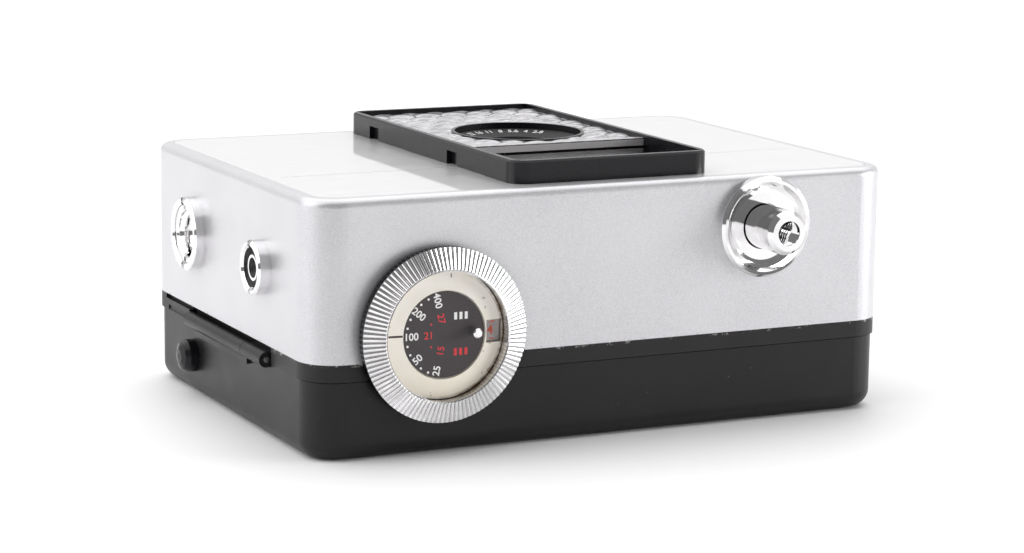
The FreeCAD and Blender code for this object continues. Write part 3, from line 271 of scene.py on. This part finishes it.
def ivory():
    """Aged ivory plastic, yellower low down, with brown dirt along its outer wall on the window's side."""
    paint = Paint("aged_ivory", coat_weight=0.3, coat_roughness=0.15)
    across, upward, reach = paint.from_dial()
    cloud = paint.noise(0.25, 5.0, 0.65)
    fresh = paint.mix(paint.ramp(cloud, 0.3, 0.7), (0.93, 0.90, 0.85), (0.90, 0.85, 0.74))
    low_side = paint.ramp(upward, 2 * MM, -7 * MM, 0.0, 0.55)
    fresh = paint.mix(low_side, fresh, (0.88, 0.80, 0.62))
    wall = paint.ramp(reach, 7.95 * MM, 8.3 * MM)
    side = paint.ramp(paint.math("SUBTRACT", across, paint.product(upward, 0.35)), -1.0 * MM, 5.5 * MM)
    patchy = paint.ramp(paint.noise(0.8, 5.0, 0.75), 0.38, 0.6, 0.35, 1.0)
    dirt = paint.product(paint.product(wall, side), patchy)
    specks = paint.ramp(paint.noise(1.3, 1.0, 0.4), 0.73, 0.76, 0.0, 0.5)
    fresh = paint.mix(specks, fresh, (0.30, 0.24, 0.15))
    paint.set("Base Color", paint.mix(dirt, fresh, (0.17, 0.10, 0.045)))
    paint.set("Roughness", paint.ramp(cloud, 0.3, 0.7, 0.30, 0.45))
    paint.bump(cloud, 0.01)
    return paint.material


def dial_black():
    """Worn flat black of the film speed disc."""
    paint = Paint("dial_black")
    fine = paint.noise(3.0, 4.0, 0.7)
    paint.set("Base Color", paint.mix(fine, (0.030, 0.024, 0.026), (0.060, 0.050, 0.052)))
    paint.set("Roughness", paint.ramp(fine, 0.3, 0.7, 0.42, 0.58))
    paint.bump(fine, 0.004)
    return paint.material


def ink(name, tone, wear=0.62):
    """Painted marking, thinned by wear."""
    paint = Paint(name)
    worn = paint.ramp(paint.noise(2.2, 4.0, 0.7), wear, wear + 0.08, 0.0, 0.6)
    faded = tuple(0.55 * part for part in tone)
    paint.set("Base Color", paint.mix(worn, tone, faded))
    paint.set("Roughness", paint.ramp(worn, 0.0, 0.6, 0.5, 0.65))
    return paint.material


def clear_glass(name, tint, rough=0.02):
    """Thin clear cover: mostly see-through, with a sharp surface reflection."""
    paint = Paint(name, transmission_weight=1.0, ior=1.5, roughness=rough)
    haze = paint.noise(0.2, 3.0)
    warm = tuple(0.96 * part for part in tint)
    paint.set("Base Color", paint.mix(paint.ramp(haze, 0.4, 0.7), tint, warm))
    return paint.material


def coated_lens():
    """Dark glass with a faint amber and violet coating."""
    paint = Paint("coated_lens", coat_weight=1.0, coat_roughness=0.02, roughness=0.05,
                  coat_tint=(0.85, 0.75, 1.0, 1.0))
    across = paint.noise(0.08, 2.0)
    paint.set("Base Color", paint.mix(across, (0.012, 0.010, 0.022), (0.030, 0.016, 0.030)))
    return paint.material


def honeycomb_plastic():
    """Clear moulding over a silvery plate, which reads as pale grey with soft facets."""
    paint = Paint("honeycomb_plastic", metallic=0.1, coat_weight=0.6, coat_roughness=0.06)
    cloud = paint.noise(0.35, 4.0, 0.6)
    ribs = paint.noise(1.2, 2.0, 0.5, (0.4, 1.6, 1))
    tone = paint.mix(paint.ramp(ribs, 0.40, 0.60), (0.22, 0.21, 0.23), (0.62, 0.61, 0.63))
    paint.set("Base Color", paint.mix(paint.ramp(cloud, 0.35, 0.75, 0.0, 0.3), tone, (0.48, 0.47, 0.49)))
    paint.set("Roughness", paint.ramp(cloud, 0.3, 0.7, 0.12, 0.25))
    paint.bump(ribs, 0.05)
    return paint.material


def selenium():
    """Grey, faintly banded face of the light cell."""
    paint = Paint("selenium", metallic=0.8)
    bands = paint.noise(0.8, 2.0, 0.5, (0.1, 3, 1))
    paint.set("Base Color", paint.mix(bands, (0.20, 0.18, 0.19), (0.40, 0.38, 0.39)))
    paint.set("Roughness", paint.ramp(bands, 0.3, 0.7, 0.25, 0.4))
    return paint.material


def felt():
    """Black fuzz of the light seal."""
    paint = Paint("felt", sheen_weight=0.6, roughness=1.0)
    fuzz = paint.noise(8.0, 4.0, 0.8)
    paint.set("Base Color", paint.mix(fuzz, (0.008, 0.008, 0.008), (0.04, 0.04, 0.04)))
    paint.bump(fuzz, 0.08)
    return paint.material


def floor_white():
    """Plain white table."""
    paint = Paint("floor_white", roughness=0.6)
    cloud = paint.noise(0.004, 2.0)
    paint.set("Base Color", paint.mix(cloud, (0.93, 0.925, 0.93), (0.955, 0.95, 0.955)))
    return paint.material


CHROME = bright_metal("chrome", (0.90, 0.895, 0.90), 0.06)
STEEL = bright_metal("steel", (0.60, 0.59, 0.58), 0.28, (1, 0.06, 1), 0.004)
BRASS = bright_metal("brass", (0.72, 0.53, 0.25), 0.22)
ALUMINIUM = bright_metal("aluminium", (0.74, 0.74, 0.75), 0.3, (1, 1, 0.1), 0.004)
NUMBER_PLATE = bright_metal("number_plate", (0.34, 0.32, 0.31), 0.35)
GLOSS_BLACK = gloss_black()
MATTE_BLACK = matte_black()
GLASS = clear_glass("clear_glass", (0.96, 0.98, 1.0))
WHITE_INK = ink("white_ink", (0.86, 0.85, 0.84))
GREY_INK = ink("mask", (0.66, 0.66, 0.68))
PALE_EDGE = ink("cell_end", (0.62, 0.60, 0.61))
RED_INK = ink("red_ink", (0.62, 0.035, 0.045), 0.6)
ORANGE_INK = ink("orange_ink", (0.70, 0.10, 0.05), 0.6)
DARK_INK = ink("dark_ink", (0.05, 0.04, 0.035))

FINISHES = {
    "front_casing": silver_paint(), "front_plate": coated_plate(),
    "chassis": black_paint("chassis_paint", 0.010, 0.40, 0.012, CASING_EDGE),
    "back_cover": black_paint("back_paint"),
    "counter_ring": ivory(), "winding_ring": fluted_chrome(),
    "film_speed_disc": dial_black(), "counter_disc": NUMBER_PLATE,
    "selenium_cell": selenium(), "light_seal": felt(), "front_lens": coated_lens(),
    "middle_lens": GLASS, "rear_lens": GLASS, "eyepiece_lens": GLASS, "viewfinder_window": GLASS,
}
BY_SLOT = {"chrome": CHROME, "steel": STEEL, "brass": BRASS, "aluminium_can": ALUMINIUM,
           "gloss_black": GLOSS_BLACK, "matte_black": MATTE_BLACK, "black_frame": GLOSS_BLACK,
           "glass": GLASS, "honeycomb": GLASS}

USUAL_BREAK = 0.06                 # millimetres taken off an edge, unless the node is listed here
EDGE_BREAK = {"back_cover": 0.12, "chassis": 0.08, "front_casing": 0.08, "cell_frame": 0.12,
              "front_plate": 0.03, "counter_disc": 0.01, "film_speed_disc": 0.03, "winding_ring": 0.025,
              "sprocket_gear": 0.02, "cocking_gear": 0.02, "shutter_blade_1": 0.02, "shutter_blade_2": 0.02}


def finish_frame_nodes():
    """Give every CAD node its finish, a fine edge break and smooth shading over its curves."""
    slots = {row["node"]: row["material_slot"] for row in frame["record"]["subparts"]}
    for name, item in frame["nodes"].items():
        material = FINISHES.get(name) or BY_SLOT[slots[name]]
        item.data.materials.clear()
        item.data.materials.append(material)
        item.data.shade_smooth()
        edge = item.modifiers.new("edge_break", "BEVEL")
        edge.width = EDGE_BREAK.get(name, USUAL_BREAK) * MM
        edge.segments = 2
        edge.limit_method = "ANGLE"
        edge.angle_limit = math.radians(35)
        edge.harden_normals = True


# ---------------------------------------------------------------- pieces made here

def new_piece(name, build, material, body, stands_for=()):
    """A mesh piece from a bmesh-building function, riding on a body."""
    mesh = bpy.data.meshes.new(name)
    work = bmesh.new()
    build(work)
    bmesh.ops.recalc_face_normals(work, faces=work.faces)
    work.to_mesh(mesh)
    work.free()
    mesh.polygons.foreach_set("use_smooth", [True] * len(mesh.polygons))
    item = bpy.data.objects.new(name, mesh)
    bpy.context.collection.objects.link(item)
    mesh.materials.append(material)
    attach(item, body)
    for node in stands_for:
        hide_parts(node)
    return item


def sharpen(item, degrees=30):
    """Keep hard edges hard on a smooth-shaded piece."""
    mesh = item.data
    work = bmesh.new()
    work.from_mesh(mesh)
    for edge in work.edges:
        edge.smooth = len(edge.link_faces) == 2 and edge.calc_face_angle(0) < math.radians(degrees)
    work.to_mesh(mesh)
    work.free()
    return item


PITCH = 4.18 * MM                  # between neighbouring bumps in a row
ROW = PITCH * 0.866                # between rows, for hexagonal packing
BUMP = 0.34 * MM                   # height of a bump
BUMP_REACH = 0.58 * PITCH          # distance from a bump's centre to where three bumps meet
SEAM = 0.12 * MM                   # depth of the groove there


def honeycomb_height(x, y):
    """Height of the honeycomb's surface over its rim at a point, which its nearest bump decides."""
    row = round(y / ROW)
    away = []
    for r in (row - 1, row, row + 1):
        shift = 0.5 * PITCH if r % 2 else 0.0
        column = round((x - shift) / PITCH)
        away += [math.hypot(x - shift - c * PITCH, y - r * ROW) for c in (column - 1, column, column + 1)]
    reach = min(min(away) / BUMP_REACH, 1.0)
    return BUMP * (1.0 - reach ** 2) - SEAM * max(0.0, reach - 0.9) * 10


def cell_honeycomb():
    """The clear cell window: a sheet of hexagonally packed bumps round the lens well."""
    low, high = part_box("cell_window")
    base_z, rim_z = low.z + 0.35 * MM, high.z - 0.10 * MM
    bezel_low, bezel_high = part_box("lens_bezel")
    well = (bezel_high.x - bezel_low.x) / 2
    step = 0.24 * MM
    across, along = round((high.x - low.x) / step), round((high.y - low.y) / step)

    def build(work):
        grid = {}
        for i in range(across + 1):
            for j in range(along + 1):
                x = low.x + (high.x - low.x) * i / across
                y = low.y + (high.y - low.y) * j / along
                away = Vector((x - LENS.x, y - LENS.y))
                if away.length < well - step:
                    continue
                if away.length < well:
                    away = away.normalized() * well
                    x, y = LENS.x + away.x, LENS.y + away.y
                z = rim_z + honeycomb_height(x - LENS.x, y - LENS.y)
                grid[i, j] = work.verts.new((x, y, z))
        for i in range(across):
            for j in range(along):
                ring = [grid.get(key) for key in ((i, j), (i + 1, j), (i + 1, j + 1), (i, j + 1))]
                if None not in ring:
                    work.faces.new(ring)
        rim = [edge for edge in work.edges if len(edge.link_faces) == 1]
        below = bmesh.ops.extrude_edge_only(work, edges=rim)["geom"]
        for vert in (part for part in below if isinstance(part, bmesh.types.BMVert)):
            vert.co.z = base_z

    piece = new_piece("cell_honeycomb", build, honeycomb_plastic(), ROOT, ("cell_window",))
    return sharpen(piece, 55)


def text_piece(name, words, size, place, turn, material, body):
    """A number as a thin solid mesh; place is its centre and turn its rotation matrix."""
    curve = bpy.data.curves.new(name, "FONT")
    curve.body = words
    curve.size = size
    curve.align_x = "CENTER"
    curve.align_y = "CENTER"
    curve.extrude = PAINT_DEPTH / 2
    curve.offset = 0.018 * size                        # a slightly bolder stroke
    curve.resolution_u = 4
    carrier = bpy.data.objects.new(name, curve)
    mesh = bpy.data.meshes.new_from_object(carrier)
    bpy.data.objects.remove(carrier)
    mesh.transform(Matrix.Translation(place) @ turn.to_4x4())
    mesh.materials.clear()
    mesh.materials.append(material)
    item = bpy.data.objects.new(name, mesh)
    bpy.context.collection.objects.link(item)
    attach(item, body)
    return item


FACE_TOP = Matrix.Rotation(math.radians(90), 3, "X")   # flat text that faces -Y, reading along +X


def on_dial(radius, degrees, face):
    """A point on the top dial, angles counted from +X towards +Z."""
    angle = math.radians(degrees)
    return Vector((DIAL.x + radius * math.cos(angle), face, DIAL.z + radius * math.sin(angle)))


def dial_turn(degrees):
    """Rotation of a number that reads outwards from the dial's centre towards the given angle."""
    return Matrix.Rotation(-math.radians(degrees), 3, "Y") @ FACE_TOP


def dot_piece(name, place, radius, material):
    """A small round dot painted on the film speed disc."""
    def build(work):
        bmesh.ops.create_cone(work, cap_ends=True, segments=20, radius1=radius, radius2=radius,
                              depth=PAINT_DEPTH, matrix=Matrix.Translation(place) @ FACE_TOP.to_4x4())
    return sharpen(new_piece(name, build, material, "film_speed"))


def block_piece(name, place, lengths, material, body, turn=Matrix.Identity(3)):
    """A small bar of the given X, Y and Z lengths, turned about its middle."""
    def build(work):
        spot = Matrix.Translation(place) @ turn.to_4x4() @ Matrix.Diagonal((*lengths, 1))
        bmesh.ops.create_cube(work, size=1, matrix=spot)
        bmesh.ops.bevel(work, geom=work.edges[:], offset=0.15 * min(lengths), segments=1, affect="EDGES")
    return sharpen(new_piece(name, build, material, body))


# ---------------------------------------------------------------- marks on the top dial

def speed_scale():
    """White film speeds with dots between them, and the red scale inside, on the setting disc."""
    step = 39.0                                        # degrees between neighbouring film speeds
    first = 180 - 2 * step                             # so that the middle one stands at the index line
    face = DISC_FACE - PAINT_RAISE
    long_at, short_at, dots_at = 4.6 * MM, 4.75 * MM, 5.25 * MM
    inner_at, inner_dots_at = 2.15 * MM, 2.35 * MM

    for place, number in enumerate(("400", "200", "100", "50", "25")):
        degrees = first + step * place
        radius = long_at if len(number) == 3 else short_at
        text_piece(f"speed_{number}", number, 1.36 * MM, on_dial(radius, degrees, face),
                   dial_turn(degrees + 180), WHITE_INK, "film_speed")
    for place, number in enumerate(("27", "21", "15")):
        degrees = first + 2 * step * place
        text_piece(f"inner_speed_{number}", number, 1.32 * MM, on_dial(inner_at, degrees, face),
                   dial_turn(degrees + 180), RED_INK, "film_speed")
    for gap in range(4):
        for part in (1, 2):
            spot = on_dial(dots_at, first + step * (gap + part / 3), face)
            dot_piece(f"speed_dot_{gap}_{part}", spot, 0.16 * MM, WHITE_INK)
    for part in (0.5, 1.5):
        spot = on_dial(inner_dots_at, first + 2 * step * part, face)
        dot_piece(f"inner_dot_{part:.0f}", spot, 0.14 * MM, RED_INK)


def scale_marks():
    """Plain bars that name the two scales of the setting disc: three white and three red."""
    start, apart, height = 1.6 * MM, 0.75 * MM, 2.35 * MM
    for row, side, material in ((1, "upper", WHITE_INK), (-1, "lower", RED_INK)):
        for column in range(3):
            spot = Vector((DIAL.x + start + apart * column, DISC_FACE - PAINT_RAISE, DIAL.z + row * height))
            block_piece(f"scale_mark_{column}_{side}", spot, (0.42 * MM, PAINT_DEPTH, 0.95 * MM), material,
                        "film_speed")


def index_line():
    """Dark index line across the sloping ivory ring, opposite the counter window, and a tick at +Z."""
    inner, outer = 5.85 * MM, 7.75 * MM
    slope = -math.atan2(0.35, 2.6)                     # the ring's face falls 0.35 over a width of 2.6
    middle = (inner + outer) / 2
    face = IVORY_FACE + 0.155 * MM                     # close to the sloping face at the line's middle
    line = Vector((DIAL.x - middle, face - PAINT_RAISE, DIAL.z + 0.25 * MM))
    block_piece("index_line", line, (outer - inner, 0.05 * MM, 0.26 * MM), DARK_INK, ROOT,
                Matrix.Rotation(slope, 3, "Z"))
    tick = Vector((DIAL.x + 0.95 * MM, face + 0.10 * MM, DIAL.z + 7.65 * MM))
    block_piece("index_tick", tick, (0.12 * MM, 0.05 * MM, 0.5 * MM), DARK_INK, ROOT,
                Matrix.Rotation(slope, 3, "X"))


def counter_numbers():
    """Orange number at every fourth frame of the counter disc, and a tick at the others."""
    face = COUNTER_FACE - PAINT_RAISE
    frames, numbered = 40, 4
    numbers_at, ticks_at = 6.75 * MM, 7.1 * MM
    for number in range(0, frames, numbered):
        degrees = 360 * number / frames
        text_piece(f"frame_{number}", str((number + numbered) % frames), 1.7 * MM,
                   on_dial(numbers_at, degrees, face), dial_turn(degrees), ORANGE_INK, "counter")
    for number in (step for step in range(frames) if step % numbered):
        degrees = 360 * number / frames
        block_piece(f"frame_tick_{number}", on_dial(ticks_at, degrees, face),
                    (0.7 * MM, PAINT_DEPTH, 0.16 * MM), ORANGE_INK, "counter",
                    Matrix.Rotation(-math.radians(degrees), 3, "Y"))


# ---------------------------------------------------------------- lens, threads and viewfinder

def aperture_numbers():
    """Pale grey aperture numbers round the sloping face of the setting ring."""
    fall, width = 0.75 * MM, 3.05 * MM                 # of the ring's sloping face
    outer, radius = 8.55 * MM, 7.55 * MM
    first, step = 125, 14                              # degrees
    slope = math.atan2(fall, width)
    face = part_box("aperture_ring")[1].z - fall * (outer - radius) / width + PAINT_DEPTH
    for place, number in enumerate(("22", "16", "11", "8", "5.6", "4", "2.8")):
        angle = math.radians(first - step * place)
        spot = Vector((LENS.x + radius * math.cos(angle), LENS.y + radius * math.sin(angle), face))
        turn = Matrix.Rotation(angle - math.pi / 2, 3, "Z") @ Matrix.Rotation(slope, 3, "X")
        text_piece(f"aperture_{number.replace('.', '_')}", number, 1.3 * MM, spot, turn, GREY_INK,
                   "aperture")


def thread(name, axis, mouth, depth, bore, ridge, pitch, body):
    """Helical thread ridge inside a bore: mouth is the axis point at its open end, axis points in."""
    per_turn = 40
    half_width = 0.42                                  # of the ridge's foot, in pitches
    turned = Vector((0, 0, 1)).rotation_difference(axis).to_matrix()

    def build(work):
        rows = []
        for step in range(int(depth / pitch * per_turn) + 1):
            angle = 2 * math.pi * step / per_turn
            along = pitch * step / per_turn
            row = []
            for radius, shift in ((bore, -half_width), (bore - ridge, 0.0), (bore, half_width)):
                local = Vector((radius * math.cos(angle), radius * math.sin(angle), along + shift * pitch))
                row.append(work.verts.new(mouth + turned @ local))
            rows.append(row)
        for first, second in zip(rows, rows[1:]):
            for left in (0, 1):
                work.faces.new((first[left], first[left + 1], second[left + 1], second[left]))
    return sharpen(new_piece(name, build, CHROME, body), 50)


def threads():
    """Cable release thread in the button, and the 1/4-inch thread, 20 to the inch, in the tripod bush."""
    mouth = Vector((RELEASE.x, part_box("release_plunger")[0].y + 0.35 * MM, RELEASE.z))
    thread("release_thread", Vector((0, 1, 0)), mouth, 5.5 * MM, 1.64 * MM, 0.24 * MM, 0.55 * MM, "release")
    middle = centre("tripod_bush")
    mouth = Vector((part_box("tripod_bush")[0].x + 0.6 * MM, middle.y, middle.z))
    thread("tripod_thread", Vector((1, 0, 0)), mouth, 4.6 * MM, 3.17 * MM, 0.5 * MM, 1.27 * MM, ROOT)


def flat_frame(name, outer, inner, top, material):
    """A thin rectangular frame over the viewfinder tube; outer and inner are half lengths in X and Y."""
    middle = centre("viewfinder_tube")
    corners = ((-1, -1), (1, -1), (1, 1), (-1, 1))
    thick = 0.04 * MM

    def build(work):
        def loop(half, z):
            spots = ((middle.x + sx * half[0], middle.y + sy * half[1], z) for sx, sy in corners)
            return [work.verts.new(spot) for spot in spots]

        outer_top, inner_top = loop(outer, top), loop(inner, top)
        outer_low, inner_low = loop(outer, top - thick), loop(inner, top - thick)
        for first, second in ((outer_top, inner_top), (outer_low, inner_low),
                              (outer_top, outer_low), (inner_top, inner_low)):
            for here in range(4):
                after = (here + 1) % 4
                work.faces.new((first[here], first[after], second[after], second[here]))
    return new_piece(name, build, material, ROOT)


def viewfinder_mask():
    """Grey mask under the viewfinder window, with a white frame line round its open middle."""
    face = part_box("viewfinder_window")[0].z - 0.02 * MM
    flat_frame("viewfinder_mask", (9.3 * MM, 5.8 * MM), (5.9 * MM, 4.1 * MM), face - 0.2 * MM, GREY_INK)
    flat_frame("viewfinder_lines", (5.8 * MM, 4.0 * MM), (5.4 * MM, 3.65 * MM), face - 0.12 * MM, WHITE_INK)


def honeycomb_end():
    """End face of the clear moulding, a pale strip over the viewfinder window, and the lip above it."""
    low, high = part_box("cell_window")
    width, middle_x = high.x - low.x, (low.x + high.x) / 2
    thin, lip_width, gap = 0.12 * MM, 1.1 * MM, 0.25 * MM
    top = high.z + 0.28 * MM
    end = Vector((middle_x, low.y - 1.05 * MM, (top + low.z) / 2))
    block_piece("honeycomb_end", end, (width, thin, top - low.z - gap), PALE_EDGE, ROOT)
    lip = Vector((middle_x, low.y - lip_width / 2, top))
    block_piece("honeycomb_lip", lip, (width, lip_width, thin), honeycomb_plastic(), ROOT)


# ---------------------------------------------------------------- studio

LEFT_POWER, OVERHEAD_POWER, RIGHT_POWER = 3.0, 38.0, 8.5
ROOM, BACKDROP = 0.20, 0.84        # strength of the surroundings in front of the table and behind it


def studio():
    """White table under large soft lights, shown without tone compression."""
    bpy.context.scene.view_settings.view_transform = "Standard"
    bpy.ops.mesh.primitive_plane_add(size=6, location=(0, 0, cad_box[0].z))
    floor = bpy.context.object
    floor.name = "floor"
    floor.data.materials.append(floor_white())

    surroundings()
    soft_light("left_softbox", (-0.85, 0.10, 0.40), (0, 0, 0.015), 0.8, 0.7, LEFT_POWER)
    soft_light("overhead", (0.0, 0.75, 1.5), (0, 0.75, 0), 3.6, 3.0, OVERHEAD_POWER)
    soft_light("right_fill", (1.1, -0.6, 0.25), (0, 0, 0.015), 0.7, 0.5, RIGHT_POWER)


def surroundings():
    """Studio round the table: a white backdrop behind it and a dim room in front of it."""
    world = bpy.data.worlds.new("studio")
    bpy.context.scene.world = world
    world.use_nodes = True
    tree = world.node_tree
    place = tree.nodes.new("ShaderNodeTexCoord")
    split = tree.nodes.new("ShaderNodeSeparateXYZ")
    change = tree.nodes.new("ShaderNodeMapRange")
    change.inputs["From Min"].default_value = -0.35
    change.inputs["From Max"].default_value = 0.25
    change.inputs["To Min"].default_value = ROOM
    change.inputs["To Max"].default_value = BACKDROP
    tree.links.new(place.outputs["Generated"], split.inputs[0])
    tree.links.new(split.outputs["Y"], change.inputs["Value"])
    tree.links.new(change.outputs["Result"], tree.nodes["Background"].inputs["Strength"])
    tree.nodes["Background"].inputs["Color"].default_value = (1.0, 0.995, 1.0, 1)


def soft_light(name, place, target, width, height, power):
    """A rectangular area light at a place, aimed at a target; metres and watts."""
    data = bpy.data.lights.new(name, "AREA")
    data.shape = "RECTANGLE"
    data.size, data.size_y = width, height
    data.energy = power
    lamp = bpy.data.objects.new(name, data)
    lamp.location = place
    aim = Vector(target) - Vector(place)
    lamp.rotation_euler = aim.to_track_quat("-Z", "Y").to_euler()
    bpy.context.collection.objects.link(lamp)


AZIMUTH, ELEVATION, ROLL = -26.08, 10.48, 0.76
EYE = Vector((-175.73, -358.93, 90.24)) * MM
FOCAL = 100.9


def camera():
    """Long lens, slightly above the table, towards the corner between the top face and the hinge end."""
    data = bpy.data.cameras.new("view")
    data.lens = FOCAL
    data.sensor_width = 36
    data.clip_start = 0.01
    eye = bpy.data.objects.new("view", data)
    azimuth, elevation, roll = (math.radians(v) for v in (AZIMUTH, ELEVATION, ROLL))
    back = Vector((math.sin(azimuth) * math.cos(elevation), -math.cos(azimuth) * math.cos(elevation),
                   math.sin(elevation)))
    right = (-back).cross(Vector((0, 0, 1))).normalized()
    up = right.cross(-back)
    right_rolled = math.cos(roll) * right + math.sin(roll) * up
    up_rolled = -math.sin(roll) * right + math.cos(roll) * up
    eye.matrix_world = Matrix.Translation(EYE) @ Matrix((right_rolled, up_rolled, back)).transposed().to_4x4()
    bpy.context.collection.objects.link(eye)
    bpy.context.scene.camera = eye


finish_frame_nodes()
cell_honeycomb()
honeycomb_end()
speed_scale()
scale_marks()
index_line()
counter_numbers()
aperture_numbers()
threads()
viewfinder_mask()
studio()
camera()
